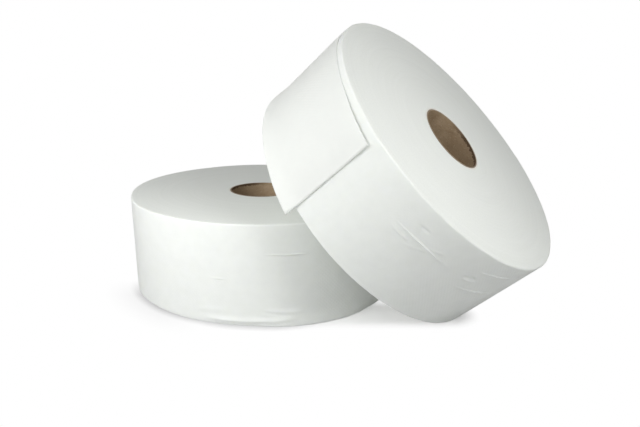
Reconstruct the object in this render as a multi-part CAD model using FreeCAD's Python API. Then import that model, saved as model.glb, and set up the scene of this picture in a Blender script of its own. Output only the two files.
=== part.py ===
import FreeCAD, Part
import math
import os

from FreeCAD import Vector

# Two jumbo toilet rolls. One lies flat on its end, the other leans on its rim.
# The origin is on the floor, on the flat roll's axis. +Z is up, and -Y is the side that is seen.

# Driving dimensions of a roll, in millimetres
ROLL_DIAMETER = 260.0
WEB_WIDTH = 90.0
CORE_BORE = 60.0
CORE_WALL = 1.5
RIM_ROUNDING = 1.5

# The web: its two plies, and the air on each side of it in the soft outer turn
WEB_THICKNESS = 0.35
TURN_AIR = 0.1

# How the second roll leans, in degrees and millimetres
LEAN_ANGLE = 42.0
LEAN_HEADING = -30.5
SIDE_OFFSET = 6.0
SEAT_GAP = 0.2
FLAT_SPOT_DEPTH = 0.4

# Where the web ends on each roll, as an angle about the roll's own axis
FLAT_ROLL_WEB_END = 75.0
TAIL_ROOT_ANGLE = 70.0

# The loose tail: how far round it runs, how far it has slipped along the axis at its end,
# and its gap to the turn below it at the two corners of that end
TAIL_ARC = 190.0
TAIL_SLIP = 8.8
TAIL_FRONT_GAP = 1.0
TAIL_BACK_GAP = 2.0
TAIL_ROOT_INSIDE = 3.0

# How many spans the outer turn's spiral and the tail are drawn through
TURN_SPANS = 24
TAIL_SPANS = 20

# Creases pressed into the outer turn
CREASE_DEPTH = 0.45
CREASE_WIDTH = 1.6
CUTTER_DEPTHS = 6.0

# Each crease: its middle's angle about the axis, its height above the roll's lower or back
# face, the angle that it spans and its slant, all angles in degrees
FLAT_ROLL_CREASES = [
    (-80.0, 65.0, 18.0, 0.0),
    (-80.0, 15.0, 16.0, -12.0),
    (-94.0, 5.7, 38.0, 1.0),
    (-109.0, 12.5, 14.0, 4.0),
]
LEANING_ROLL_CREASES = [
    (-63.5, 63.2, 24.0, 0.0),
    (-33.0, 75.4, 14.0, 11.0),
    (-31.5, 52.0, 15.0, 6.0),
]

roll_radius = ROLL_DIAMETER / 2
bore_radius = CORE_BORE / 2
core_radius = bore_radius + CORE_WALL
turn_step = WEB_THICKNESS + 2 * TURN_AIR
seat_tolerance = SEAT_GAP / 20
AXIS = Vector(0, 0, 1)
ORIGIN = Vector(0, 0, 0)


def on_circle(radius, angle, height=0.0):
    """A point at a radius and an angle about the roll's axis."""
    turn = math.radians(angle)
    return Vector(radius * math.cos(turn), radius * math.sin(turn), height)


def tube(outer, inner, length):
    """A plain tube along +Z."""
    return Part.makeCylinder(outer, length).cut(Part.makeCylinder(inner, length))


def rounded_drum(radius, width, rounding):
    """A solid drum along +Z whose two rims are rounded."""
    drum = Part.makeCylinder(radius, width)
    rims = [edge for edge in drum.Edges if len(edge.Vertexes) == 1]
    return drum.makeFillet(rounding, rims)


def turn_radius(angle, web_end):
    """The outer turn's radius: it climbs by one step in a full turn, up to the web's end."""
    climbed = (angle - web_end) / 360.0
    return roll_radius - turn_step + turn_step * climbed


def wound_body(web_end):
    """The wound web: a spiral outline with the step of its cut end, under two rounded rims."""
    points = []
    for span in range(TURN_SPANS + 1):
        angle = web_end + 360.0 * span / TURN_SPANS
        points.append(on_circle(turn_radius(angle, web_end), angle))
    spiral = Part.BSplineCurve()
    spiral.interpolate(points)
    outline = Part.Wire([spiral.toShape(), Part.makeLine(points[-1], points[0])])
    body = Part.Face(outline).extrude(AXIS * WEB_WIDTH)
    body = body.common(rounded_drum(roll_radius, WEB_WIDTH, RIM_ROUNDING))
    return body.cut(Part.makeCylinder(core_radius, WEB_WIDTH))


def crease_cutter(angle, height, span, slant):
    """A ring with a sharp inner edge, set so that it presses a tapered groove into the wall."""
    half_turn = math.radians(span / 2)
    half_chord = roll_radius * math.sin(half_turn)
    sagitta = roll_radius - CREASE_DEPTH - roll_radius * math.cos(half_turn)
    ring_radius = (half_chord ** 2 + sagitta ** 2) / (2 * sagitta)
    reach = CREASE_DEPTH * CUTTER_DEPTHS
    spread = reach * CREASE_WIDTH / (2 * CREASE_DEPTH)
    corners = [
        Vector(ring_radius, 0, 0),
        Vector(ring_radius + reach, 0, spread),
        Vector(ring_radius + reach, 0, -spread),
    ]
    section = Part.Face(Part.makePolygon(corners + corners[:1]))
    ring = section.revolve(ORIGIN, AXIS, 360)
    ring.translate(Vector(roll_radius - CREASE_DEPTH - ring_radius, 0, 0))
    ring.rotate(ORIGIN, Vector(1, 0, 0), slant)
    ring.rotate(ORIGIN, AXIS, angle)
    ring.translate(AXIS * height)
    return ring


def creased(body, creases):
    """The body with each crease pressed into its wall."""
    for crease in creases:
        body = body.cut(crease_cutter(*crease))
    return body


def tail_section(angle):
    """The tail's section at one angle: it slips back along the axis and stands off as it runs."""
    run = max(0.0, (angle - TAIL_ROOT_ANGLE) / TAIL_ARC)
    below = turn_radius(max(angle, TAIL_ROOT_ANGLE), TAIL_ROOT_ANGLE)
    front_radius = below + TURN_AIR + (TAIL_FRONT_GAP - TURN_AIR) * run
    back_radius = below + TURN_AIR + (TAIL_BACK_GAP - TURN_AIR) * run
    half_width = WEB_WIDTH / 2 - RIM_ROUNDING * (1 - run)
    middle = WEB_WIDTH / 2 - TAIL_SLIP * run
    corners = [
        on_circle(back_radius, angle, middle - half_width),
        on_circle(front_radius, angle, middle + half_width),
        on_circle(front_radius + WEB_THICKNESS, angle, middle + half_width),
        on_circle(back_radius + WEB_THICKNESS, angle, middle - half_width),
    ]
    return Part.makePolygon(corners + corners[:1])


def loose_tail():
    """The last half turn of the web, which grows out of the step in the outer turn."""
    first = TAIL_ROOT_ANGLE - TAIL_ROOT_INSIDE
    length = TAIL_ARC + TAIL_ROOT_INSIDE
    angles = [first + length * span / TAIL_SPANS for span in range(TAIL_SPANS + 1)]
    return Part.makeLoft([tail_section(angle) for angle in angles], True, False)


def leaning_placement():
    """Where the leaning roll's back face lies: low rim on the floor, core hole on the flat rim."""
    lean = math.radians(LEAN_ANGLE)
    turned = FreeCAD.Rotation(AXIS, LEAN_HEADING)
    tipped = FreeCAD.Rotation(Vector(0, 1, 0), 90 - LEAN_ANGLE)
    rotation = turned.multiply(tipped)
    heading = turned.multVec(Vector(1, 0, 0))
    sideways = turned.multVec(Vector(0, 1, 0))
    low_rim = (roll_radius - RIM_ROUNDING) * math.cos(lean) - RIM_ROUNDING * math.sin(lean)
    back_height = low_rim + RIM_ROUNDING - FLAT_SPOT_DEPTH
    start = heading * (ROLL_DIAMETER + WEB_WIDTH) + sideways * SIDE_OFFSET
    start.z = back_height

    # The roll slides in along its heading until its clearance to the flat roll is the seat gap
    solid_roll = rounded_drum(roll_radius, WEB_WIDTH, RIM_ROUNDING)
    blank = solid_roll.cut(Part.makeCylinder(bore_radius, WEB_WIDTH))
    mover = blank.copy()
    while True:
        mover.Placement = FreeCAD.Placement(start, rotation)
        slack = mover.distToShape(blank)[0] - SEAT_GAP
        if slack < seat_tolerance:
            return mover.Placement
        start = start - heading * slack


def floor_cut(body):
    """Takes off what would lie below the floor, which leaves the soft rim's small flat spot."""
    side = ROLL_DIAMETER + WEB_WIDTH
    middle = body.BoundBox.Center
    corner = Vector(middle.x - side, middle.y - side, -side)
    return body.cut(Part.makeBox(2 * side, 2 * side, side, corner))


def flat_roll():
    """The roll that lies on its end."""
    paper = creased(wound_body(FLAT_ROLL_WEB_END), FLAT_ROLL_CREASES)
    return {"flat_roll_paper": paper, "flat_roll_core": tube(core_radius, bore_radius, WEB_WIDTH)}


def leaning_roll():
    """The roll that leans, with its loose tail."""
    placement = leaning_placement()
    paper = creased(wound_body(TAIL_ROOT_ANGLE), LEANING_ROLL_CREASES)
    paper = paper.fuse(loose_tail())
    core = tube(core_radius, bore_radius, WEB_WIDTH)
    paper.Placement = placement
    core.Placement = placement
    return {"leaning_roll_paper": floor_cut(paper), "leaning_roll_core": core}


def main():
    os.makedirs("parts", exist_ok=True)
    nodes = {**flat_roll(), **leaning_roll()}
    for name, shape in nodes.items():
        solids = shape.Solids
        print(name, len(solids), "solid", round(shape.Volume), "mm3, valid", shape.isValid())
        solids[0].exportStep(os.path.join("parts", name + ".step"))


main()
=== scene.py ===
import math

import bpy
from mathutils import Matrix, Vector


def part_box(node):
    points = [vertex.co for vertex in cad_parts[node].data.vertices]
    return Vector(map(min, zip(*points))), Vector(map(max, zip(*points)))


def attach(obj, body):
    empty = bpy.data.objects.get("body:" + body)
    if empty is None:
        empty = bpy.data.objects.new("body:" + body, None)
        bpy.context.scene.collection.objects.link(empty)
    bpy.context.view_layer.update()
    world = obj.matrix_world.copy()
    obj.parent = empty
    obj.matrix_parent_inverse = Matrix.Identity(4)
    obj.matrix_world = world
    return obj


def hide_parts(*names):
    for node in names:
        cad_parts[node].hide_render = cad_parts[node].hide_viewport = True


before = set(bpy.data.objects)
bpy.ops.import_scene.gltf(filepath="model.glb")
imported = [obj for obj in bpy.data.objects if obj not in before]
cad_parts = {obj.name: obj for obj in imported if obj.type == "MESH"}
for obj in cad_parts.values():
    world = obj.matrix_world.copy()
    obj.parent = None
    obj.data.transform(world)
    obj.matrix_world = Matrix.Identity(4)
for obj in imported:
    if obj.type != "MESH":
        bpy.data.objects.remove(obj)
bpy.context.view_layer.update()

# A pair of jumbo toilet rolls: one lies flat on its end, the other leans on it with a loose tail.
# Lengths are in metres, written as so many millimetres, and angles are in degrees where named.
MM = 0.001
TURN = 2 * math.pi

# Sizes of a roll, as the CAD part has them
ROLL_RADIUS = 130 * MM
CORE_RADIUS = 31.5 * MM
BORE_RADIUS = 30 * MM
WEB_WIDTH = 90 * MM
WEB_THICKNESS = 0.35 * MM
TURN_AIR = 0.1 * MM
TURN_STEP = WEB_THICKNESS + 2 * TURN_AIR
RIM_ROUNDING = 1.5 * MM
LEAN_ANGLE = 42.0
LEAN_HEADING = -30.5
FLAT_ROLL_WEB_END = 75.0
TAIL_ROOT_ANGLE = 70.0
TAIL_ARC = 190.0
TAIL_ROOT_INSIDE = 3.0

# What the soft paper has done: the leaning roll is drawn out by this share along a line at this
# angle, and the flat roll's foot has slid by this much in X and Y
OVAL_SHARE = 0.0064
OVAL_ANGLE = -66.0
FOOT_SHIFT = (3.2 * MM, -2.9 * MM)
# Where each board tube's sheet starts, as an angle about its roll's axis, which also sets where the
# painted shade in its bore lies
FLAT_BOARD_TURN = 120.0
LEANING_BOARD_TURN = 0.0
# How far the cut end of a web leans from a sheer step, so that its faces keep some breadth
STEP_LEAN = math.radians(0.15)
# How much closer a ring's rows lie towards its rims: a power on the faces, a share on the wall
FACE_CROWDING = 1.7
WALL_CROWDING = 0.2
SHARP_ANGLE = math.radians(50)
# Where round the board's bore shade is painted: the middle of that part, how far from it that is
# full and gone, the share of the darker tone painted there, and how far the dark ragged band of
# painted shade at each mouth can reach
SHADED_SIDE_MIDDLE = 19 * MM
SHADED_SIDE_FULL, SHADED_SIDE_GONE = 20 * MM, 50 * MM
SIDE_SHADE_SHARE = 0.32
MOUTH_SHADE_REACH = 4.4 * MM

# Node kinds that the trees use many times
MATH = "ShaderNodeMath"
MAP = "ShaderNodeMapRange"
NOISE = "ShaderNodeTexNoise"
COMBINE = "ShaderNodeCombineXYZ"
SEPARATE = "ShaderNodeSeparateXYZ"
MIX = "ShaderNodeMix"

# Marks left on the outer turns by handling, one row each: the middle's angle in degrees and its
# height in mm, the angle that it spans, how far it slants and bows over half of that in mm, how
# high it stands and how wide it is in mm, and how much of it is a valley beside the ridge.
# A rise below 0 is a dent. The rows 400 mm wide run over the whole web: they are where the roll
# is a little out of round.
FLAT_ROLL_MARKS = [
    (-79.2, 64.0, 19, -0.6, 0.0, 0.7, 0.75, -1.3),
    (-106.0, 41.9, 6, 0.0, 0.0, 0.6, 0.8, -1.2),
    (-81.5, 13.0, 17, -1.6, 1.0, 1.1, 1.9, 0.1),
    (-94.0, 4.8, 42, 1.0, 1.2, 1.7, 2.3, 0.5),
    (-109.5, 13.0, 14, 1.4, -1.2, 0.45, 2.6, 0.0),
    (-84.0, 9.0, 16, -2.0, 0.0, 0.4, 1.8, 0.5),
    (-68.0, -2.0, 52, 0.0, 0.0, 3.6, 9.0, 0.0),
    (152.0, 45.0, 112, 0.0, 0.0, -1.7, 400.0, 0.0),
    (102.0, 45.0, 48, 0.0, 0.0, 3.2, 400.0, 0.0),
]
LEANING_ROLL_MARKS = [
    (-63.5, 63.2, 26, -0.6, -1.6, 0.8, 0.65, -1.3),
    (-64.8, 57.4, 9, 5.0, -0.5, 0.6, 0.9, -1.0),
    (-71.2, 56.8, 8, 0.4, 0.0, 0.6, 1.2, 1.3),
    (-67.8, 73.3, 4, 0.3, 0.0, -0.9, 1.3, 0.0),
    (-41.2, 62.8, 6, 1.4, 0.0, -1.3, 1.7, 0.0),
    (-40.2, 60.6, 5, 1.4, 0.0, 0.9, 0.8, -1.3),
    (-32.6, 74.6, 17, 1.8, -0.6, 0.7, 0.65, -1.3),
    (-32.5, 51.9, 19, 1.9, -0.4, 0.8, 0.65, -1.3),
    (-59.0, 66.2, 6, 3.0, 0.0, 0.5, 1.0, -1.0),
    (-102.0, 45.0, 11, 0.0, 0.0, 0.7, 400.0, 0.0),
    (54.0, 45.0, 84, 0.0, 0.0, 2.0, 400.0, 0.0),
    (114.0, 45.0, 60, 0.0, 0.0, -1.5, 400.0, 0.0),
]

# How far the tail has slipped back along the axis, and how far its back edge flares out, each
# as rows of a share of its run and mm
TAIL_SLIP = [(0.0, 0.0), (0.35, 2.6), (0.68, 5.6), (0.78, 5.3), (0.87, 5.6), (0.94, 7.1),
             (1.0, 8.4)]
TAIL_FLARE = [(0.0, 0.0), (0.35, 0.3), (0.5, 0.8), (0.7, 2.0), (0.85, 2.4), (1.0, 2.3)]
CURVE_RANGE = 10 * MM
# The heights above the roll's back face where the flare starts and where it is full, the share of
# the run where the cut end starts to lift, the shares of run and width where the front corner
# does, and how many rows there are to a tooth of the torn end
FLARE_START, FLARE_FULL = 14 * MM, -10 * MM
END_LIFT_START = 0.8
CORNER_RUN_START, CORNER_WIDTH_START = 0.86, 0.7
TOOTH_ROWS = 4.0


def linear(text):
    """A colour written as sRGB hex, as the linear RGBA that the shaders take."""
    channels = [int(text[i:i + 2], 16) / 255 for i in (0, 2, 4)]
    return [c / 12.92 if c <= 0.04045 else ((c + 0.055) / 1.055) ** 2.4 for c in channels] + [1.0]


def add(tree, kind, inputs=(), **settings):
    """Adds a node with its settings. An input takes a value, a socket, or a node's first output."""
    node = tree.nodes.new(kind)
    for name, value in settings.items():
        setattr(node, name, value)
    for key, value in dict(inputs).items():
        if isinstance(key, int):
            socket = node.inputs[key]
        else:
            socket = next(s for s in node.inputs if s.name == key and s.enabled)
        if isinstance(value, bpy.types.Node):
            value = next(s for s in value.outputs if s.enabled)
        if isinstance(value, bpy.types.NodeSocket):
            tree.links.new(value, socket)
        else:
            socket.default_value = value
    return node


def geometry_tree(name, inputs, outputs):
    """An empty geometry tree with named sockets of each kind, and its input node's sockets."""
    tree = bpy.data.node_groups.new(name, "GeometryNodeTree")
    for in_out, kinds in (("INPUT", inputs), ("OUTPUT", outputs)):
        for kind, labels in kinds.items():
            for label in labels:
                tree.interface.new_socket(label, in_out=in_out, socket_type="NodeSocket" + kind)
    return tree, add(tree, "NodeGroupInput").outputs


def plain_mesh(carrier, name):
    """The plain mesh of an object as its modifier leaves it. The object itself is taken away."""
    shown = carrier.evaluated_get(bpy.context.evaluated_depsgraph_get())
    mesh = bpy.data.meshes.new_from_object(shown)
    carrier.modifiers.clear()
    bpy.data.objects.remove(carrier)
    mesh.name = name
    return mesh


def grown(name, tree, values):
    """The plain mesh that a geometry tree makes from its named inputs."""
    seed = bpy.data.objects.new(name, bpy.data.meshes.new(name))
    bpy.context.scene.collection.objects.link(seed)
    modifier = seed.modifiers.new("tree", "NODES")
    modifier.node_group = tree
    for socket in tree.interface.items_tree:
        if socket.in_out == "INPUT" and socket.name in values:
            modifier[socket.identifier] = values[socket.name]
    return plain_mesh(seed, name)


# Geometry: trees of nodes that grow the meshes


def unit_grid(tree, columns, rows):
    """A flat grid, and how far along and how far up it each point is, both from 0 to 1."""
    column_points = add(tree, MATH, {0: columns, 1: 1.0})
    row_points = add(tree, MATH, {0: rows, 1: 1.0})
    grid = add(tree, "GeometryNodeMeshGrid", {"Size X": 1.0, "Size Y": 1.0,
                                              "Vertices X": column_points,
                                              "Vertices Y": row_points})
    place = add(tree, SEPARATE, {0: add(tree, "GeometryNodeInputPosition")})
    along = add(tree, MATH, {0: place.outputs["X"], 1: 0.5})
    up = add(tree, MATH, {0: place.outputs["Y"], 1: 0.5})
    return grid.outputs["Mesh"], along, up


def on_circle(tree, radius, turn, height):
    """The point at a radius, a turn angle and a height about the roll's own axis."""
    cosine = add(tree, MATH, {0: turn}, operation="COSINE")
    sine = add(tree, MATH, {0: turn}, operation="SINE")
    x = add(tree, MATH, {0: radius, 1: cosine}, operation="MULTIPLY")
    y = add(tree, MATH, {0: radius, 1: sine}, operation="MULTIPLY")
    return add(tree, COMBINE, {"X": x, "Y": y, "Z": height})


def bell_of(tree, across):
    """A bell curve: 1 where across is 0, and next to nothing beyond 2 either way."""
    square = add(tree, MATH, {0: across, 1: across}, operation="MULTIPLY")
    minus = add(tree, MATH, {0: square, 1: -1.0}, operation="MULTIPLY")
    return add(tree, MATH, {0: minus}, operation="EXPONENT")


MARK_INPUTS = {
    "Float": ["Turn", "Height", "Angle", "Level", "Span", "Slant", "Bow", "Rise", "Width",
              "Valley"],
}


def mark_group():
    """One ridge or fold on a wall: how far it lifts the paper at a turn angle and a height."""
    tree, given = geometry_tree("handling mark", MARK_INPUTS, {"Float": ["Lift"]})
    away = add(tree, MATH, {0: given["Turn"], 1: given["Angle"]}, operation="SUBTRACT")
    away = add(tree, MATH, {0: away, 1: math.pi, 2: -math.pi}, operation="WRAP")
    half_span = add(tree, MATH, {0: given["Span"], 1: 0.5}, operation="MULTIPLY")
    along = add(tree, MATH, {0: away, 1: half_span}, operation="DIVIDE")
    along = add(tree, "ShaderNodeClamp", {"Value": along, "Min": -1.0, "Max": 1.0})
    square = add(tree, MATH, {0: along, 1: along}, operation="MULTIPLY")
    fourth = add(tree, MATH, {0: square, 1: square}, operation="MULTIPLY")
    window = add(tree, MATH, {0: 1.0, 1: fourth}, operation="SUBTRACT")
    window = add(tree, MATH, {0: window, 1: 2.0}, operation="POWER")
    middle = add(tree, MATH, {0: along, 1: given["Slant"], 2: given["Level"]},
                 operation="MULTIPLY_ADD")
    middle = add(tree, MATH, {0: square, 1: given["Bow"], 2: middle}, operation="MULTIPLY_ADD")
    across = add(tree, MATH, {0: given["Height"], 1: middle}, operation="SUBTRACT")
    across = add(tree, MATH, {0: across, 1: given["Width"]}, operation="DIVIDE")
    tilt = add(tree, MATH, {0: across, 1: given["Valley"], 2: 1.0}, operation="MULTIPLY_ADD")
    lift = add(tree, MATH, {0: bell_of(tree, across), 1: tilt}, operation="MULTIPLY")
    lift = add(tree, MATH, {0: lift, 1: window}, operation="MULTIPLY")
    lift = add(tree, MATH, {0: lift, 1: given["Rise"]}, operation="MULTIPLY")
    add(tree, "NodeGroupOutput", {"Lift": lift})
    return tree


RING_INPUTS = {
    "Float": ["Outer radius", "Bore radius", "Width", "Turn step", "Web end", "Rim rounding",
              "Wave", "Rim roughness", "Face dish", "Seam pitch", "Seam rise", "Seam width"],
    "Int": ["Columns", "Bore rows", "Face rows", "Wall rows"],
}


def closed_share(tree, across, given):
    """The share of a turn at each column. The last column comes back to the first one's place."""
    gaps = add(tree, MATH, {0: given["Columns"], 1: 1.0}, operation="SUBTRACT")
    stretch = add(tree, MATH, {0: given["Columns"], 1: gaps}, operation="DIVIDE")
    share = add(tree, MATH, {0: across, 1: stretch}, operation="MULTIPLY")
    half_gap = add(tree, MATH, {0: -0.5, 1: given["Columns"]}, operation="DIVIDE")
    limit = add(tree, MATH, {0: 1.0, 1: half_gap})
    open_part = add(tree, MATH, {0: across, 1: limit}, operation="LESS_THAN")
    share = add(tree, MATH, {0: share, 1: 1.0}, operation="MINIMUM")
    share = add(tree, MATH, {0: share, 1: open_part}, operation="MULTIPLY")
    return share


def rounded_rims(tree, radius, height, outer, width, rounding):
    """Draws in to an arc what stands in the corner square of the two outer rims. Gives the new
    radius and height, and how far a spot has gone over the arc to the wall and to a face."""
    corner_radius = add(tree, MATH, {0: outer, 1: rounding}, operation="SUBTRACT")
    past_radius = add(tree, MATH, {0: radius, 1: corner_radius}, operation="SUBTRACT")
    past_radius = add(tree, MATH, {0: past_radius, 1: 0.0}, operation="MAXIMUM")
    corner_height = add(tree, MATH, {0: width, 1: rounding}, operation="SUBTRACT")
    above = add(tree, MATH, {0: height, 1: corner_height}, operation="SUBTRACT")
    above = add(tree, MATH, {0: above, 1: 0.0}, operation="MAXIMUM")
    below = add(tree, MATH, {0: height, 1: rounding}, operation="SUBTRACT")
    below = add(tree, MATH, {0: below, 1: 0.0}, operation="MINIMUM")
    past_height = add(tree, MATH, {0: above, 1: below})
    corner = add(tree, COMBINE, {"X": past_radius, "Y": past_height})
    reach = add(tree, "ShaderNodeVectorMath", {0: corner}, operation="LENGTH").outputs["Value"]
    drawn = add(tree, MATH, {0: rounding, 1: reach}, operation="DIVIDE")
    drawn = add(tree, MATH, {0: drawn, 1: 1.0}, operation="MINIMUM")
    drawn = add(tree, MATH, {0: drawn, 1: 1.0}, operation="SUBTRACT")
    round_radius = add(tree, MATH, {0: past_radius, 1: drawn, 2: radius}, operation="MULTIPLY_ADD")
    round_height = add(tree, MATH, {0: past_height, 1: drawn, 2: height}, operation="MULTIPLY_ADD")
    on_wall = add(tree, MATH, {0: past_radius, 1: rounding}, operation="DIVIDE")
    on_face = add(tree, MATH, {0: past_height, 1: rounding}, operation="DIVIDE")
    return round_radius, round_height, on_wall, on_face


def handled(tree, given, spot, turn, height, on_face, marks, mark):
    """How far slow waves, a rough rim and each mark lift the wall, and the slow waves alone."""
    slow = add(tree, NOISE, {"Vector": spot, "Scale": 1 / (70 * MM), "Detail": 1.0},
               noise_dimensions="3D")
    slow = add(tree, MATH, {0: slow, 1: 0.5}, operation="SUBTRACT")
    lift = add(tree, MATH, {0: slow, 1: given["Wave"]}, operation="MULTIPLY")
    rough = add(tree, NOISE, {"Vector": spot, "Scale": 1 / (7 * MM), "Detail": 3.0},
                noise_dimensions="3D")
    rough = add(tree, MATH, {0: rough, 1: 0.5}, operation="SUBTRACT")
    near_rim = add(tree, MAP, {"Value": add(tree, MATH, {0: on_face}, operation="ABSOLUTE"),
                               "From Min": 0.0, "From Max": 1.0})
    rough = add(tree, MATH, {0: rough, 1: near_rim}, operation="MULTIPLY")
    lift = add(tree, MATH, {0: rough, 1: given["Rim roughness"], 2: lift}, operation="MULTIPLY_ADD")
    for angle, mark_level, span, slant, bow, rise, mark_width, valley in marks:
        one = add(tree, "GeometryNodeGroup", node_tree=mark)
        values = (turn, height, math.radians(angle), mark_level * MM, math.radians(span),
                  slant * MM, bow * MM, rise * MM, mark_width * MM, valley)
        for socket, value in zip(one.inputs, values):
            if isinstance(value, bpy.types.Node):
                tree.links.new(value.outputs[0], socket)
            else:
                socket.default_value = value
        lift = add(tree, MATH, {0: lift, 1: one})
    return lift, slow


def board_seam(tree, given, share, height, depth):
    """The seam of a spiral-wound board tube, a low ridge along a helix in its bore."""
    helix = add(tree, MATH, {0: share, 1: given["Seam pitch"], 2: height}, operation="MULTIPLY_ADD")
    half_pitch = add(tree, MATH, {0: given["Seam pitch"], 1: 0.5}, operation="MULTIPLY")
    minus_half = add(tree, MATH, {0: given["Seam pitch"], 1: -0.5}, operation="MULTIPLY")
    off_seam = add(tree, MATH, {0: helix, 1: half_pitch, 2: minus_half}, operation="WRAP")
    off_seam = add(tree, MATH, {0: off_seam, 1: given["Seam width"]}, operation="DIVIDE")
    at_bore = add(tree, MATH, {0: depth, 1: 0.999}, operation="GREATER_THAN")
    seam = add(tree, MATH, {0: bell_of(tree, off_seam), 1: at_bore}, operation="MULTIPLY")
    seam = add(tree, MATH, {0: seam, 1: given["Seam rise"]}, operation="MULTIPLY")
    return seam


def finished_ring(tree, grid, shown, wall, lengths, distances, materials):
    """The grid in its place, with what the materials read, its ends joined, its sharp edges kept
    and its two materials set."""
    wall_material, face_material = materials
    shape = add(tree, "GeometryNodeStoreNamedAttribute",
                {"Geometry": grid, "Name": "web_map", "Value": lengths},
                data_type="FLOAT2", domain="CORNER")
    for label, value in distances.items():
        shape = add(tree, "GeometryNodeStoreNamedAttribute",
                    {"Geometry": shape, "Name": label, "Value": value},
                    data_type="FLOAT", domain="POINT")
    kept = tree.nodes.new("GeometryNodeCaptureAttribute")
    kept.domain = "FACE"
    kept.capture_items.new("FLOAT", "Wall share")
    tree.links.new(shape.outputs["Geometry"], kept.inputs["Geometry"])
    tree.links.new(wall.outputs[0], kept.inputs["Wall share"])
    shape = add(tree, "GeometryNodeSetPosition",
                {"Geometry": kept.outputs["Geometry"], "Position": shown})
    shape = add(tree, "GeometryNodeMergeByDistance", {"Geometry": shape, "Distance": 0.001 * MM})
    shape = add(tree, "GeometryNodeSetShadeSmooth", {0: shape, "Shade Smooth": True}, domain="FACE")
    edge_angle = add(tree, "GeometryNodeInputMeshEdgeAngle")
    sharp = add(tree, MATH, {0: edge_angle, 1: SHARP_ANGLE}, operation="GREATER_THAN")
    shape = add(tree, "GeometryNodeSetShadeSmooth",
                {0: shape, "Selection": sharp, "Shade Smooth": False}, domain="EDGE")
    shape = add(tree, "GeometryNodeRealizeInstances", {"Geometry": shape})
    shape = add(tree, "GeometryNodeSetMaterial", {"Geometry": shape, "Material": face_material})
    not_back = add(tree, MATH, {0: kept.outputs["Wall share"], 1: 1e-5}, operation="GREATER_THAN")
    not_front = add(tree, MATH, {0: kept.outputs["Wall share"], 1: 1 - 1e-5}, operation="LESS_THAN")
    on_roll_wall = add(tree, MATH, {0: not_back, 1: not_front}, operation="MULTIPLY")
    shape = add(tree, "GeometryNodeSetMaterial",
                {"Geometry": shape, "Selection": on_roll_wall, "Material": wall_material})
    return shape


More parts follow.
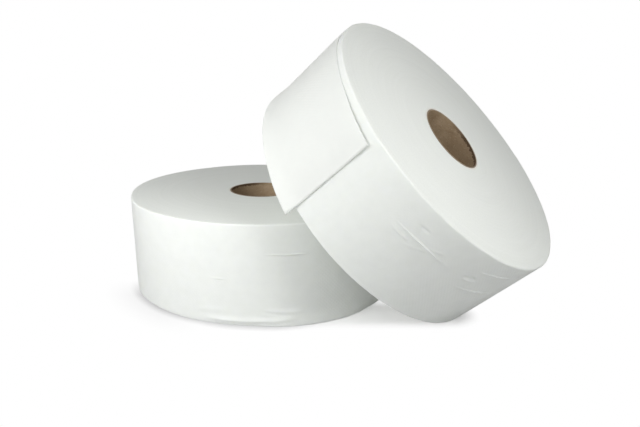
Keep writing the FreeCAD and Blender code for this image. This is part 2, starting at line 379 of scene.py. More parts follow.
def ring_tree(name, marks, mark, materials):
    """A wound ring about +Z: its section is a loop of bore, back face, wall and front face, and its
    outer radius climbs by one step in a turn, so that the last quads are the web's cut end."""
    tree, given = geometry_tree(name, RING_INPUTS, {"Geometry": ["Geometry"]})
    width, rounding = given["Width"], given["Rim rounding"]

    # The flat grid: across is the share of a turn, up is the share of the section's loop
    off_wall = add(tree, MATH, {0: given["Face rows"], 1: 2.0, 2: given["Bore rows"]},
                   operation="MULTIPLY_ADD")
    rows = add(tree, MATH, {0: off_wall, 1: given["Wall rows"]})
    grid, across, up = unit_grid(tree, given["Columns"], rows)
    share = closed_share(tree, across, given)
    turn = add(tree, MATH, {0: share, 1: TURN - STEP_LEAN, 2: given["Web end"]},
               operation="MULTIPLY_ADD")
    inner_step = add(tree, MATH, {0: share, 1: 1.0}, operation="SUBTRACT")
    outer = add(tree, MATH, {0: inner_step, 1: given["Turn step"], 2: given["Outer radius"]},
                operation="MULTIPLY_ADD")

    # Along the section: each stretch runs from 0 to 1, with its rows set closer near the rims
    row = add(tree, MATH, {0: up, 1: rows}, operation="MULTIPLY")
    back_end = add(tree, MATH, {0: given["Bore rows"], 1: given["Face rows"]})
    wall_end = add(tree, MATH, {0: back_end, 1: given["Wall rows"]})
    stretches = []
    for start, end in ((0.0, given["Bore rows"]), (given["Bore rows"], back_end),
                       (back_end, wall_end), (wall_end, rows)):
        stretches.append(add(tree, MAP, {"Value": row, "From Min": start, "From Max": end}))
    bore, back, wall, front = stretches
    back_left = add(tree, MATH, {0: 1.0, 1: back}, operation="SUBTRACT")
    back_left = add(tree, MATH, {0: back_left, 1: FACE_CROWDING}, operation="POWER")
    front_done = add(tree, MATH, {0: front, 1: FACE_CROWDING}, operation="POWER")
    depth = add(tree, MATH, {0: back_left, 1: front_done})
    wall_turn = add(tree, MATH, {0: wall, 1: math.pi}, operation="MULTIPLY")
    wall_wave = add(tree, MATH, {0: wall_turn}, operation="COSINE")
    wall_wave = add(tree, MATH, {0: wall_wave, 1: -WALL_CROWDING, 2: WALL_CROWDING},
                    operation="MULTIPLY_ADD")
    climb = add(tree, MATH, {0: wall, 1: 1 - 2 * WALL_CROWDING, 2: wall_wave},
                operation="MULTIPLY_ADD")
    wall_thick = add(tree, MATH, {0: outer, 1: given["Bore radius"]}, operation="SUBTRACT")
    sunk = add(tree, MATH, {0: wall_thick, 1: depth}, operation="MULTIPLY")
    radius = add(tree, MATH, {0: outer, 1: sunk}, operation="SUBTRACT")
    level = add(tree, MATH, {0: climb, 1: bore}, operation="SUBTRACT")
    level = add(tree, MATH, {0: level, 1: 1.0})
    level_before_wall = add(tree, MATH, {0: level, 1: 1.0}, operation="MINIMUM")
    height = add(tree, MATH, {0: level_before_wall, 1: width}, operation="MULTIPLY")

    rims = rounded_rims(tree, radius, height, outer, width, rounding)
    round_radius, round_height, on_wall, on_face = rims

    # What handling did to the wall and the rims, and a slight dish in the faces
    spot = on_circle(tree, radius, turn, height)
    lift, slow = handled(tree, given, spot, turn, height, on_face, marks, mark)
    radius = add(tree, MATH, {0: lift, 1: on_wall, 2: round_radius}, operation="MULTIPLY_ADD")
    dish = add(tree, MATH, {0: slow, 1: given["Face dish"]}, operation="MULTIPLY")
    inwards = add(tree, MATH, {0: 1.0, 1: on_wall}, operation="SUBTRACT")
    dish = add(tree, MATH, {0: dish, 1: inwards}, operation="MULTIPLY")
    height_shown = add(tree, MATH, {0: dish, 1: on_face, 2: round_height}, operation="MULTIPLY_ADD")

    seam = board_seam(tree, given, share, height, depth)
    radius = add(tree, MATH, {0: radius, 1: seam}, operation="SUBTRACT")

    shown = on_circle(tree, radius, turn, height_shown)

    # What the materials read: lengths round and along the section, and from the hole and the mouths
    round_length = add(tree, MATH, {0: given["Outer radius"], 1: TURN}, operation="MULTIPLY")
    map_across = add(tree, MATH, {0: across, 1: round_length}, operation="MULTIPLY")
    bore_and_wall = add(tree, MATH, {0: bore, 1: climb})
    walked = add(tree, MATH, {0: bore_and_wall, 1: width}, operation="MULTIPLY")
    faces_walked = add(tree, MATH, {0: 1.0, 1: back_left}, operation="SUBTRACT")
    faces_walked = add(tree, MATH, {0: faces_walked, 1: front_done})
    walked = add(tree, MATH, {0: faces_walked, 1: wall_thick, 2: walked}, operation="MULTIPLY_ADD")
    lengths = add(tree, COMBINE, {"X": map_across, "Y": walked})
    from_hole = add(tree, MATH, {0: radius, 1: given["Bore radius"]}, operation="SUBTRACT")
    to_front = add(tree, MATH, {0: width, 1: height}, operation="SUBTRACT")
    from_mouth = add(tree, MATH, {0: height, 1: to_front}, operation="MINIMUM")
    distances = {"from_hole": from_hole, "from_mouth": from_mouth}
    shape = finished_ring(tree, grid, shown, wall, lengths, distances, materials)
    add(tree, "NodeGroupOutput", {"Geometry": shape})
    return tree


TAIL_INPUTS = {
    "Float": ["Radius", "Width", "Turn step", "Root angle", "Arc", "Root inside", "Stand-off",
              "End lift", "Corner lift", "Ripple", "Tooth"],
    "Int": ["Columns", "Rows"],
}


def curve_of(tree, share, rows):
    """A smooth curve through rows of a share and mm, read at one share of the tail's run."""
    curve = add(tree, "ShaderNodeFloatCurve", {"Value": share})
    points = curve.mapping.curves[0].points
    while len(points) < len(rows):
        points.new(0.5, 0.5)
    for point, (where, far) in zip(points, rows):
        point.location = (where, far * MM / CURVE_RANGE)
    curve.mapping.update()
    return add(tree, MATH, {0: curve, 1: CURVE_RANGE}, operation="MULTIPLY")


def tail_tree(material):
    """The loose last half turn of the web: a sheet that slips back along the axis and lifts off at
    its cut end, where the torn perforation leaves small teeth."""
    tree, given = geometry_tree("loose tail", TAIL_INPUTS, {"Geometry": ["Geometry"]})
    grid, along, up = unit_grid(tree, given["Columns"], given["Rows"])

    length = add(tree, MATH, {0: given["Arc"], 1: given["Root inside"]})
    start = add(tree, MATH, {0: given["Root angle"], 1: given["Root inside"]}, operation="SUBTRACT")
    turn = add(tree, MATH, {0: along, 1: length, 2: start}, operation="MULTIPLY_ADD")
    from_root = add(tree, MATH, {0: turn, 1: given["Root angle"]}, operation="SUBTRACT")
    run = add(tree, MATH, {0: from_root, 1: given["Arc"]}, operation="DIVIDE")
    run = add(tree, MATH, {0: run, 1: 0.0}, operation="MAXIMUM")

    # Across the web
    centre = add(tree, MATH, {0: given["Width"], 1: 0.5}, operation="MULTIPLY")
    centre = add(tree, MATH, {0: centre, 1: curve_of(tree, run, TAIL_SLIP)}, operation="SUBTRACT")
    narrowed = add(tree, MAP, {"Value": run, "To Min": 2 * RIM_ROUNDING, "To Max": 0.0})
    breadth = add(tree, MATH, {0: given["Width"], 1: narrowed}, operation="SUBTRACT")
    level = add(tree, MATH, {0: up, 1: 0.5}, operation="SUBTRACT")
    height = add(tree, MATH, {0: level, 1: breadth, 2: centre}, operation="MULTIPLY_ADD")

    # How far it stands off the turn below
    turned = add(tree, MATH, {0: from_root, 1: TURN}, operation="DIVIDE")
    turned = add(tree, MATH, {0: turned, 1: 0.0}, operation="MAXIMUM")
    turned = add(tree, MATH, {0: turned, 1: 1.0}, operation="SUBTRACT")
    below = add(tree, MATH, {0: turned, 1: given["Turn step"], 2: given["Radius"]},
                operation="MULTIPLY_ADD")
    radius = add(tree, MATH, {0: below, 1: given["Stand-off"]})
    end_rise = add(tree, MAP, {"Value": run, "From Min": END_LIFT_START, "From Max": 1.0},
                   interpolation_type="SMOOTHSTEP")
    radius = add(tree, MATH, {0: end_rise, 1: given["End lift"], 2: radius},
                 operation="MULTIPLY_ADD")
    corner_run = add(tree, MAP, {"Value": run, "From Min": CORNER_RUN_START, "From Max": 1.0},
                     interpolation_type="SMOOTHSTEP")
    corner_up = add(tree, MAP, {"Value": up, "From Min": CORNER_WIDTH_START, "From Max": 1.0},
                    interpolation_type="SMOOTHSTEP")
    corner = add(tree, MATH, {0: corner_run, 1: corner_up}, operation="MULTIPLY")
    radius = add(tree, MATH, {0: corner, 1: given["Corner lift"], 2: radius},
                 operation="MULTIPLY_ADD")
    flare = add(tree, MAP, {"Value": height, "From Min": FLARE_START, "From Max": FLARE_FULL},
                interpolation_type="SMOOTHSTEP")
    flare = add(tree, MATH, {0: flare, 1: curve_of(tree, run, TAIL_FLARE)}, operation="MULTIPLY")
    radius = add(tree, MATH, {0: flare, 1: radius})
    spot = on_circle(tree, given["Radius"], turn, height)
    ripple = add(tree, NOISE, {"Vector": spot, "Scale": 1 / (38 * MM), "Detail": 1.5},
                 noise_dimensions="3D")
    off_front = add(tree, MAP, {"Value": up, "From Min": 1.0, "From Max": 0.85},
                    interpolation_type="SMOOTHSTEP")
    ripple = add(tree, MATH, {0: ripple, 1: run}, operation="MULTIPLY")
    ripple = add(tree, MATH, {0: ripple, 1: off_front}, operation="MULTIPLY")
    radius = add(tree, MATH, {0: ripple, 1: given["Ripple"], 2: radius}, operation="MULTIPLY_ADD")

    # Teeth of the torn perforation, evenly spaced over the rows of the last column
    row = add(tree, MATH, {0: up, 1: given["Rows"]}, operation="MULTIPLY")
    row = add(tree, MATH, {0: row, 1: 0.5})
    tooth = add(tree, MATH, {0: row, 1: TOOTH_ROWS}, operation="MODULO")
    tooth = add(tree, MATH, {0: tooth, 1: 1.0}, operation="LESS_THAN")
    last = add(tree, MATH, {0: along, 1: 0.9999}, operation="GREATER_THAN")
    tooth = add(tree, MATH, {0: tooth, 1: last}, operation="MULTIPLY")
    reach = add(tree, MATH, {0: given["Tooth"], 1: given["Radius"]}, operation="DIVIDE")
    end_turn = add(tree, MATH, {0: tooth, 1: reach, 2: turn}, operation="MULTIPLY_ADD")
    shown = on_circle(tree, radius, end_turn, height)

    run_length = add(tree, MATH, {0: turn, 1: given["Radius"]}, operation="MULTIPLY")
    lengths = add(tree, COMBINE, {"X": run_length, "Y": height})
    shape = add(tree, "GeometryNodeStoreNamedAttribute",
                {"Geometry": grid, "Name": "web_map", "Value": lengths},
                data_type="FLOAT2", domain="CORNER")
    shape = add(tree, "GeometryNodeSetPosition", {"Geometry": shape, "Position": shown})
    shape = add(tree, "GeometryNodeSetShadeSmooth", {0: shape, "Shade Smooth": True}, domain="FACE")
    shape = add(tree, "GeometryNodeRealizeInstances", {"Geometry": shape})
    shape = add(tree, "GeometryNodeSetMaterial", {"Geometry": shape, "Material": material})
    add(tree, "NodeGroupOutput", {"Geometry": shape})
    return tree


# Materials


def new_material(name):
    """A node material with nothing in it yet, and its shader's tree."""
    material = bpy.data.materials.new(name)
    material.use_nodes = True
    material.node_tree.nodes.clear()
    return material, material.node_tree


def embossed_tissue(name, tints, scatter, lit_through):
    """Two-ply bath tissue, creped and micro-embossed: chalky white with no gloss, a fine pebble of
    emboss dots over crepe lines that run across the web, and faint cloudiness from its fibres.
    scatter is the share of light that spreads inside the wound paper, and lit_through the share
    that a loose sheet lets through."""
    material, tree = new_material(name)
    web = add(tree, "ShaderNodeUVMap", uv_map="web_map")
    cloud = add(tree, NOISE, {"Vector": web, "Scale": 1 / (9 * MM), "Detail": 3.0},
                noise_dimensions="2D")
    tint = add(tree, MIX, {0: cloud, "A": linear(tints[0]), "B": linear(tints[1])},
               data_type="RGBA")

    # Emboss dots on a 2.4 mm grid. Real ones are about 1 mm apart, which is too fine to show here.
    turned = add(tree, "ShaderNodeMapping", {"Vector": web, "Rotation": (0, 0, math.radians(45))})
    dots = add(tree, "ShaderNodeTexVoronoi",
               {"Vector": turned, "Scale": 1 / (2.4 * MM), "Randomness": 0.12},
               voronoi_dimensions="2D", feature="F1")
    dots = add(tree, MAP, {"Value": dots.outputs["Distance"], "From Min": 0.15, "From Max": 0.5,
                           "To Min": 1.0, "To Max": 0.0}, interpolation_type="SMOOTHSTEP")
    # Crepe lines across the web, drawn about 1.4 mm apart
    squeezed = add(tree, "ShaderNodeMapping", {"Vector": web, "Scale": (1.0, 0.12, 1.0)})
    crepe = add(tree, NOISE, {"Vector": squeezed, "Scale": 1 / (1.4 * MM), "Detail": 3.0},
                noise_dimensions="2D")
    relief = add(tree, MATH, {0: dots, 1: 0.5, 2: crepe}, operation="MULTIPLY_ADD")
    fine = add(tree, "ShaderNodeBump", {"Height": relief, "Strength": 1.0, "Distance": 0.055 * MM})
    slack = add(tree, NOISE, {"Vector": web, "Scale": 1 / (24 * MM), "Detail": 2.0},
                noise_dimensions="2D")
    soft = add(tree, "ShaderNodeBump",
               {"Height": slack, "Strength": 1.0, "Distance": 0.35 * MM, "Normal": fine})
    skin = add(tree, "ShaderNodeBsdfPrincipled", {
        "Base Color": tint, "Roughness": 0.95, "Specular IOR Level": 0.2, "Normal": soft,
        "Subsurface Weight": scatter, "Subsurface Scale": 1.0,
        "Subsurface Radius": (3.5 * MM, 3.5 * MM, 3.2 * MM),
    })
    through = add(tree, "ShaderNodeBsdfTranslucent", {"Color": linear("FFFFFF"), "Normal": soft})
    sheet = add(tree, "ShaderNodeMixShader", {0: lit_through, 1: skin, 2: through})
    add(tree, "ShaderNodeOutputMaterial", {"Surface": sheet})
    return material


def slit_web_edges():
    """The end of a roll, where a saw cut all its turns at once: a felt-like white made of fine
    rings, a little greyer than the web, and a warm tone painted where it meets the board as painted
    bounce light from it."""
    material, tree = new_material("two_ply_tissue_slit_edges")
    web = add(tree, "ShaderNodeUVMap", uv_map="web_map")
    # The turns are about 0.5 mm apart, too fine to show, so the rings are drawn 1 to 4 mm apart
    ringed = add(tree, "ShaderNodeMapping", {"Vector": web, "Scale": (0.012, 1.0, 1.0)})
    rings = add(tree, NOISE,
                {"Vector": ringed, "Scale": 1 / (3.2 * MM), "Detail": 4.0, "Roughness": 0.6},
                noise_dimensions="2D")
    lint = add(tree, NOISE, {"Vector": web, "Scale": 1 / (1.6 * MM), "Detail": 3.0},
               noise_dimensions="2D")
    tone = add(tree, MATH, {0: rings, 1: 0.7, 2: lint}, operation="MULTIPLY_ADD")
    tone = add(tree, MAP, {"Value": tone, "From Min": 0.45, "From Max": 1.25})
    tint = add(tree, MIX, {0: tone, "A": linear("EAEDE8"), "B": linear("F1F4EF")}, data_type="RGBA")
    # A warm tone painted beside the hole: painted bounce light from the board
    from_hole = add(tree, "ShaderNodeAttribute", attribute_name="from_hole")
    painted_bounce_by_hole = add(tree, MAP,
                  {"Value": from_hole.outputs["Fac"], "From Min": 2.2 * MM, "From Max": 0.0,
                   "To Min": 0.0, "To Max": 0.6}, interpolation_type="SMOOTHSTEP")
    tint = add(tree, MIX, {0: painted_bounce_by_hole, "A": tint, "B": linear("E2D9CB")}, data_type="RGBA")
    relief = add(tree, MATH, {0: rings, 1: 0.8, 2: lint}, operation="MULTIPLY_ADD")
    bump = add(tree, "ShaderNodeBump", {"Height": relief, "Strength": 1.0, "Distance": 0.035 * MM})
    skin = add(tree, "ShaderNodeBsdfPrincipled", {
        "Base Color": tint, "Roughness": 1.0, "Specular IOR Level": 0.15, "Normal": bump,
        "Subsurface Weight": 0.2, "Subsurface Scale": 1.0,
        "Subsurface Radius": (2 * MM, 2 * MM, 1.8 * MM),
    })
    add(tree, "ShaderNodeOutputMaterial", {"Surface": skin})
    return material


def kraft_board():
    """Recycled kraft board, spiral-wound and sawn to length: dull brown with fibres along the ply,
    dark and pale flecks, and painted shade over a third of its bore: a darker tone, with a dark
    ragged band at each mouth there. Its sawn end faces are darker, partly painted shade."""
    material, tree = new_material("kraft_board_spiral_wound")
    web = add(tree, "ShaderNodeUVMap", uv_map="web_map")
    laid = add(tree, "ShaderNodeMapping", {"Vector": web, "Rotation": (0, 0, math.radians(32)),
                                           "Scale": (0.16, 1.0, 1.0)})
    fibres = add(tree, NOISE,
                 {"Vector": laid, "Scale": 1 / (1.1 * MM), "Detail": 4.0, "Roughness": 0.65},
                 noise_dimensions="2D")
    blotch = add(tree, NOISE, {"Vector": web, "Scale": 1 / (14 * MM), "Detail": 3.0},
                 noise_dimensions="2D")
    tone = add(tree, MATH, {0: fibres, 1: 0.6, 2: blotch}, operation="MULTIPLY_ADD")
    tone = add(tree, MAP, {"Value": tone, "From Min": 0.5, "From Max": 1.1})
    tint = add(tree, MIX, {0: tone, "A": linear("A28C70"), "B": linear("BAA488")}, data_type="RGBA")
    specks = add(tree, "ShaderNodeTexVoronoi",
                 {"Vector": web, "Scale": 1 / (5 * MM), "Randomness": 1.0},
                 voronoi_dimensions="2D", feature="F1")
    pale = add(tree, MAP, {"Value": specks.outputs["Distance"], "From Min": 0.10, "From Max": 0.04,
                           "To Min": 0.0, "To Max": 0.6})
    tint = add(tree, MIX, {0: pale, "A": tint, "B": linear("D2C4AC")}, data_type="RGBA")
    dark_web = add(tree, "ShaderNodeMapping", {"Vector": web, "Location": (0.31, 0.17, 0)})
    dark = add(tree, "ShaderNodeTexVoronoi",
               {"Vector": dark_web, "Scale": 1 / (3.5 * MM), "Randomness": 1.0},
               voronoi_dimensions="2D", feature="F1")
    dark = add(tree, MAP, {"Value": dark.outputs["Distance"], "From Min": 0.12, "From Max": 0.05,
                           "To Min": 0.0, "To Max": 0.5})
    tint = add(tree, MIX, {0: dark, "A": tint, "B": linear("6A5641")}, data_type="RGBA")
    # A dark ragged band of painted shade at each mouth of the bore
    from_mouth = add(tree, "ShaderNodeAttribute", attribute_name="from_mouth")
    ragged = add(tree, NOISE, {"Vector": web, "Scale": 1 / (3 * MM), "Detail": 4.0},
                 noise_dimensions="2D")
    mouth_shade = add(tree, MATH, {0: ragged, 1: -MOUTH_SHADE_REACH, 2: from_mouth.outputs["Fac"]},
               operation="MULTIPLY_ADD")
    mouth_shade = add(tree, MAP, {"Value": mouth_shade, "From Min": 0.3 * MM, "From Max": -0.4 * MM,
                           "To Min": 0.0, "To Max": 0.85})
    from_hole = add(tree, "ShaderNodeAttribute", attribute_name="from_hole")
    in_bore = add(tree, MATH, {0: from_hole.outputs["Fac"], 1: 0.25 * MM}, operation="LESS_THAN")
    mouth_shade = add(tree, MATH, {0: mouth_shade, 1: in_bore}, operation="MULTIPLY")
    # Painted shade over about a third of the way round the bore: a darker tone there, and the dark
    # ragged band at each mouth only there
    half_round = TURN * CORE_RADIUS / 2
    round_way = add(tree, SEPARATE, {0: web}).outputs["X"]
    from_shaded_side = add(tree, MATH, {0: round_way, 1: SHADED_SIDE_MIDDLE}, operation="SUBTRACT")
    from_shaded_side = add(tree, MATH, {0: from_shaded_side, 1: half_round, 2: -half_round}, operation="WRAP")
    from_shaded_side = add(tree, MATH, {0: from_shaded_side}, operation="ABSOLUTE")
    shaded_side = add(tree, MAP, {"Value": from_shaded_side, "From Min": SHADED_SIDE_GONE, "From Max": SHADED_SIDE_FULL},
                 interpolation_type="SMOOTHSTEP")
    side_shade_tone = add(tree, MATH, {0: shaded_side, 1: SIDE_SHADE_SHARE}, operation="MULTIPLY")
    tint = add(tree, MIX, {0: side_shade_tone, "A": tint, "B": linear("705C46")}, data_type="RGBA")
    mouth_shade = add(tree, MATH, {0: mouth_shade, 1: shaded_side}, operation="MULTIPLY")
    tint = add(tree, MIX, {0: mouth_shade, "A": tint, "B": linear("4E3B2A")}, data_type="RGBA")
    # The board's sawn end faces are painted darker than the bore: partly a dark sawn edge, partly
    # painted shade, so that when lit they look like the shaded bore
    tint = add(tree, MIX, {0: in_bore, "A": linear("857663"), "B": tint}, data_type="RGBA")
    bump = add(tree, "ShaderNodeBump", {"Height": fibres, "Strength": 1.0, "Distance": 0.06 * MM})
    skin = add(tree, "ShaderNodeBsdfPrincipled", {
        "Base Color": tint, "Roughness": 0.88, "Specular IOR Level": 0.25, "Normal": bump,
    })
    add(tree, "ShaderNodeOutputMaterial", {"Surface": skin})
    return material


# Pieces: meshes in their places, each for one node of the CAD part


def piece(name, mesh, placement, node):
    """A finished piece: its place is in its mesh, and nothing of it is below the floor."""
    mesh.transform(placement)
    for vertex in mesh.vertices:
        vertex.co.z = max(vertex.co.z, 0.0)
    made = bpy.data.objects.new(name, mesh)
    bpy.context.scene.collection.objects.link(made)
    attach(made, "root")
    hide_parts(node)


def leaning_placement():
    """The leaning roll's place: leant as in the CAD, through the middle of its board core."""
    low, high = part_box("leaning_roll_core")
    turned = Matrix.Rotation(math.radians(LEAN_HEADING), 4, "Z")
    tipped = Matrix.Rotation(math.radians(90 - LEAN_ANGLE), 4, "Y")
    to_middle = Matrix.Translation((0, 0, -WEB_WIDTH / 2))
    return Matrix.Translation((low + high) / 2) @ turned @ tipped @ to_middle


def slightly_oval(mesh):
    """Draws the leaning roll's soft web out a little along one line, as its own weight has done."""
    long_way = Matrix.Rotation(math.radians(OVAL_ANGLE), 4, "Z")
    drawn = Matrix.Diagonal((1 + OVAL_SHARE, 1 - OVAL_SHARE, 1.0, 1.0))
    mesh.transform(long_way @ drawn @ long_way.inverted())
    return mesh


def slid_foot():
    """The flat roll's lower turns have slid a little to the side that the other roll leans on."""
    slide = Matrix.Identity(4)
    for row, shift in enumerate(FOOT_SHIFT):
        slide[row][2] = -shift / WEB_WIDTH
        slide[row][3] = shift
    return slide


def wound_web(name, marks, mark, web_end, materials):
    """The mesh of one roll's paper."""
    return grown(name, ring_tree(name, marks, mark, materials), {
        "Outer radius": ROLL_RADIUS, "Bore radius": CORE_RADIUS, "Width": WEB_WIDTH,
        "Turn step": TURN_STEP, "Web end": math.radians(web_end), "Rim rounding": RIM_ROUNDING,
        "Columns": 360, "Bore rows": 2, "Face rows": 34, "Wall rows": 180,
        "Wave": 0.9 * MM, "Rim roughness": 0.9 * MM, "Face dish": 0.5 * MM,
        "Seam pitch": 1.0, "Seam rise": 0.0, "Seam width": 1.0,
    })


def board_core(name, mark, board, turned_by):
    """The mesh of one board tube."""
    return grown(name, ring_tree(name, [], mark, (board, board)), {
        "Outer radius": CORE_RADIUS, "Bore radius": BORE_RADIUS, "Width": WEB_WIDTH,
        "Turn step": 0.0, "Web end": math.radians(turned_by), "Rim rounding": 0.3 * MM,
        "Columns": 160, "Bore rows": 90, "Face rows": 6, "Wall rows": 12,
        "Wave": 0.0, "Rim roughness": 0.0, "Face dish": 0.0,
        "Seam pitch": 118 * MM, "Seam rise": 0.22 * MM, "Seam width": 0.9 * MM,
    })


def loose_tail(name, material):
    """The mesh of the leaning roll's tail, with its two plies' thickness."""
    mesh = grown(name, tail_tree(material), {
        "Radius": ROLL_RADIUS, "Width": WEB_WIDTH, "Turn step": TURN_STEP,
        "Root angle": math.radians(TAIL_ROOT_ANGLE), "Arc": math.radians(TAIL_ARC),
        "Root inside": math.radians(TAIL_ROOT_INSIDE), "Stand-off": TURN_AIR + WEB_THICKNESS / 2,
        "End lift": 1.0 * MM, "Corner lift": 1.4 * MM, "Ripple": 0.8 * MM,
        "Tooth": 0.5 * MM, "Columns": 180, "Rows": 136,
    })
    sheet = bpy.data.objects.new(name, mesh)
    bpy.context.scene.collection.objects.link(sheet)
    plies = sheet.modifiers.new("plies", "SOLIDIFY")
    plies.thickness = WEB_THICKNESS
    plies.offset = 0.0
    plies.use_even_offset = True
    return plain_mesh(sheet, name)


# Stage: floor, world, lamps and camera


# Light levels, the floor's side, and the strip between the feet: its middle and line in X and Y,
# half its length, and how far from it its shade is full and gone, all in metres
AMBIENT = 0.30
FLOOR_GLOW = 0.2
FLOOR_SIDE = 12.0
STRIP_MIDDLE, STRIP_LINE, STRIP_HALF = 0.106, -0.105, 0.058
STRIP_FULL, STRIP_GONE = 0.012, 0.034
# The floor's shade by the paper: its reach in metres and its depth, close to it and wider round
# it, and where each fades in, in metres: the close one over X, the wide one over X, both over Y
CLOSE_SHADE = (0.009, 0.3)
WIDE_SHADE = (0.035, 0.12)
CLOSE_X, WIDE_X, FRONT_Y = (0.16, 0.06), (-0.05, -0.09), (-0.02, -0.06)


def seen_directly(tree):
    """1 where the camera sees a surface, by itself, in a gloss or through something, and else 0."""
    rays = add(tree, "ShaderNodeLightPath").outputs
    direct = add(tree, MATH, {0: rays["Is Camera Ray"], 1: rays["Is Glossy Ray"]},
                 operation="MAXIMUM")
    return add(tree, MATH, {0: direct, 1: rays["Is Transmission Ray"]}, operation="MAXIMUM")


def contact_shade(tree, place):
    """How bright the white floor shows by the paper: a thin dark line where it touches, and a wider
    shade at the pair's left end, both only on the side that the photo shows."""
    shades = []
    for reach, depth in (CLOSE_SHADE, WIDE_SHADE):
        clear = add(tree, "ShaderNodeAmbientOcclusion", {"Distance": reach}, samples=4)
        shades.append(add(tree, MAP, {"Value": clear.outputs["AO"], "From Min": 1.0,
                                      "From Max": 0.5, "To Min": 0.0, "To Max": depth}))
    fades = []
    for axis, (start, full) in (("X", CLOSE_X), ("X", WIDE_X), ("Y", FRONT_Y)):
        fades.append(add(tree, MAP, {"Value": place.outputs[axis],
                                     "From Min": start, "From Max": full}))
    not_right, at_left, in_front = fades
    close = add(tree, MATH, {0: shades[0], 1: not_right}, operation="MULTIPLY")
    touch = add(tree, MATH, {0: shades[1], 1: at_left, 2: close}, operation="MULTIPLY_ADD")
    touch = add(tree, MATH, {0: touch, 1: in_front}, operation="MULTIPLY")
    return add(tree, MATH, {0: 1.0, 1: touch}, operation="SUBTRACT")


def off_strip(tree, place):
    """0 on the strip of floor between the two rolls' feet, and 1 well outside it."""
    past_end = add(tree, MATH, {0: place.outputs["X"], 1: STRIP_MIDDLE}, operation="SUBTRACT")
    past_end = add(tree, MATH, {0: past_end}, operation="ABSOLUTE")
    past_end = add(tree, MATH, {0: past_end, 1: STRIP_HALF}, operation="SUBTRACT")
    past_end = add(tree, MATH, {0: past_end, 1: 0.0}, operation="MAXIMUM")
    aside = add(tree, MATH, {0: place.outputs["Y"], 1: -STRIP_LINE})
    away = add(tree, COMBINE, {"X": past_end, "Y": aside})
    from_strip = add(tree, "ShaderNodeVectorMath", {0: away}, operation="LENGTH").outputs["Value"]
    return add(tree, MAP, {"Value": from_strip, "From Min": STRIP_FULL, "From Max": STRIP_GONE},
               interpolation_type="SMOOTHSTEP")


def studio_floor():
    """A white floor. Between the rolls' feet it shows their shade as it falls, and elsewhere plain
    white with a little shade by the paper. Its bounce is held down there, as on a cut-out photo."""
    mesh = bpy.data.meshes.new("studio_floor")
    half = FLOOR_SIDE / 2
    corners = [(-half, -half, 0), (half, -half, 0), (half, half, 0), (-half, half, 0)]
    mesh.from_pydata(corners, [], [(0, 1, 2, 3)])
    floor = bpy.data.objects.new("studio_floor", mesh)
    bpy.context.scene.collection.objects.link(floor)
    material, tree = new_material("studio_paper_white")
    mesh.materials.append(material)
    glow = add(tree, "ShaderNodeEmission", {"Color": (1, 1, 1, 1), "Strength": FLOOR_GLOW})
    shade = add(tree, "ShaderNodeBsdfDiffuse", {"Color": linear("FBFBFB")})
    between = add(tree, "ShaderNodeAddShader", {0: glow, 1: shade})
    spot = add(tree, "ShaderNodeTexCoord").outputs["Object"]
    place = add(tree, SEPARATE, {0: spot})
    around = add(tree, "ShaderNodeEmission",
                 {"Color": (1, 1, 1, 1), "Strength": contact_shade(tree, place)})
    fade = off_strip(tree, place)
    seen = add(tree, "ShaderNodeMixShader", {0: fade, 1: between, 2: around})
    bounced = add(tree, MIX, {0: fade, "A": linear("FBFBFB"), "B": linear("D4D4D4")},
                  data_type="RGBA")
    bounce = add(tree, "ShaderNodeBsdfDiffuse", {"Color": bounced})
    surface = add(tree, "ShaderNodeMixShader", {0: seen_directly(tree), 1: bounce, 2: seen})
    add(tree, "ShaderNodeOutputMaterial", {"Surface": surface})


def studio_world():
    """Even light from all round, and plain white where the camera sees it."""
    world = bpy.data.worlds.new("studio_world")
    bpy.context.scene.world = world
    world.use_nodes = True
    tree = world.node_tree
    tree.nodes.clear()
    soft = add(tree, "ShaderNodeBackground", {"Color": linear("FFFFFF"), "Strength": AMBIENT})
    white = add(tree, "ShaderNodeBackground", {"Color": (1, 1, 1, 1), "Strength": 1.0})
    both = add(tree, "ShaderNodeMixShader", {0: seen_directly(tree), 1: soft, 2: white})
    add(tree, "ShaderNodeOutputWorld", {"Surface": both})


# Soft boxes: name, azimuth and elevation in degrees from the rolls, distance and size in metres,
# and watts. Azimuth 0 is +X and -90 is the camera's side.
SOFT_BOXES = [
    ("key_left", -140, 20, 0.42, 0.2, 0.72),
    ("fill_left", -115, 20, 0.6, 0.35, 0.53),
    ("fill_right", -60, 30, 0.42, 0.2, 0.37),
    ("fill_far_right", -30, 40, 0.42, 0.2, 0.13),
    ("fill_low_right", -45, 12, 0.42, 0.2, 0.15),
    ("rim_behind", 120, 45, 1.5, 0.9, 1.8),
]
AIM = Vector((0.06, -0.04, 0.12))
CAMERA_TILT = 0.26222


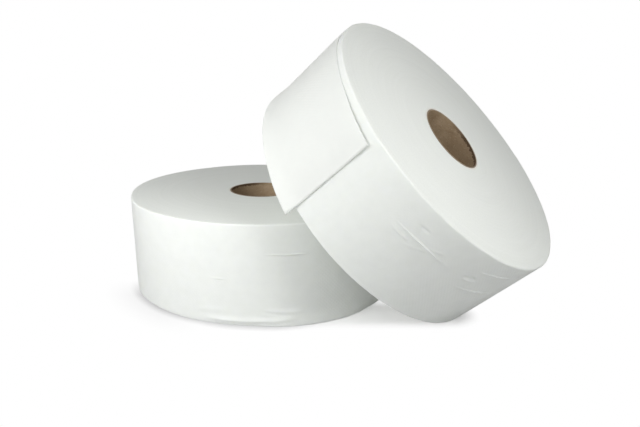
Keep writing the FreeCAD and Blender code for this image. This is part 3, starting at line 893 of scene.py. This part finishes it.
def soft_boxes():
    """The studio's lamps, each a square panel that faces the rolls."""
    for name, azimuth, elevation, distance, size, watts in SOFT_BOXES:
        turn, rise = math.radians(azimuth), math.radians(elevation)
        level = math.cos(rise)
        away = Vector((math.cos(turn) * level, math.sin(turn) * level, math.sin(rise)))
        lamp = bpy.data.lights.new(name, "AREA")
        lamp.size = size
        lamp.energy = watts
        panel = bpy.data.objects.new(name, lamp)
        panel.location = AIM + away * distance
        panel.rotation_euler = away.to_track_quat("Z", "Y").to_euler()
        panel.visible_camera = False
        bpy.context.scene.collection.objects.link(panel)


def photo_camera():
    """The photo's camera: place, tilt and lens were fitted to the two rolls' outlines."""
    lens = bpy.data.cameras.new("photo_camera")
    lens.sensor_width = 36.0
    lens.lens = 38.803
    lens.shift_x = 0.06078
    lens.clip_start, lens.clip_end = 0.01, 50.0
    camera = bpy.data.objects.new("photo_camera", lens)
    camera.location = (0.01972, -0.67787, 0.24666)
    camera.rotation_euler = (math.pi / 2 - CAMERA_TILT, 0, 0)
    bpy.context.scene.collection.objects.link(camera)
    bpy.context.scene.camera = camera


def main():
    photo_camera()
    tissue = embossed_tissue("two_ply_tissue_embossed", ("EFF2EE", "F4F7F3"), 0.6, 0.0)
    # The leaning roll's paper is the same paper as the flat roll's, tinted a shade darker as
    # painted shade
    shaded_tissue = embossed_tissue("two_ply_tissue_embossed_painted_shade", ("EBEEEA", "F0F3EF"), 0.6, 0.0)
    loose = embossed_tissue("two_ply_tissue_loose", ("F6F8F5", "FAFCF8"), 0.0, 0.3)
    edges, board = slit_web_edges(), kraft_board()
    mark = mark_group()

    upright = slid_foot()
    web = wound_web("flat_roll_tissue", FLAT_ROLL_MARKS, mark, FLAT_ROLL_WEB_END, (tissue, edges))
    piece("flat_roll_tissue", web, upright, "flat_roll_paper")
    core = board_core("flat_roll_board", mark, board, FLAT_BOARD_TURN)
    piece("flat_roll_board", core, upright, "flat_roll_core")

    leaning = leaning_placement()
    web = wound_web("leaning_roll_tissue", LEANING_ROLL_MARKS, mark, TAIL_ROOT_ANGLE,
                    (shaded_tissue, edges))
    piece("leaning_roll_tissue", slightly_oval(web), leaning, "leaning_roll_paper")
    tail = slightly_oval(loose_tail("leaning_roll_tail", loose))
    piece("leaning_roll_tail", tail, leaning, "leaning_roll_paper")
    core = board_core("leaning_roll_board", mark, board, LEANING_BOARD_TURN)
    piece("leaning_roll_board", core, leaning, "leaning_roll_core")

    studio_floor()
    studio_world()
    soft_boxes()
    bpy.context.scene.view_settings.view_transform = "Standard"


main()
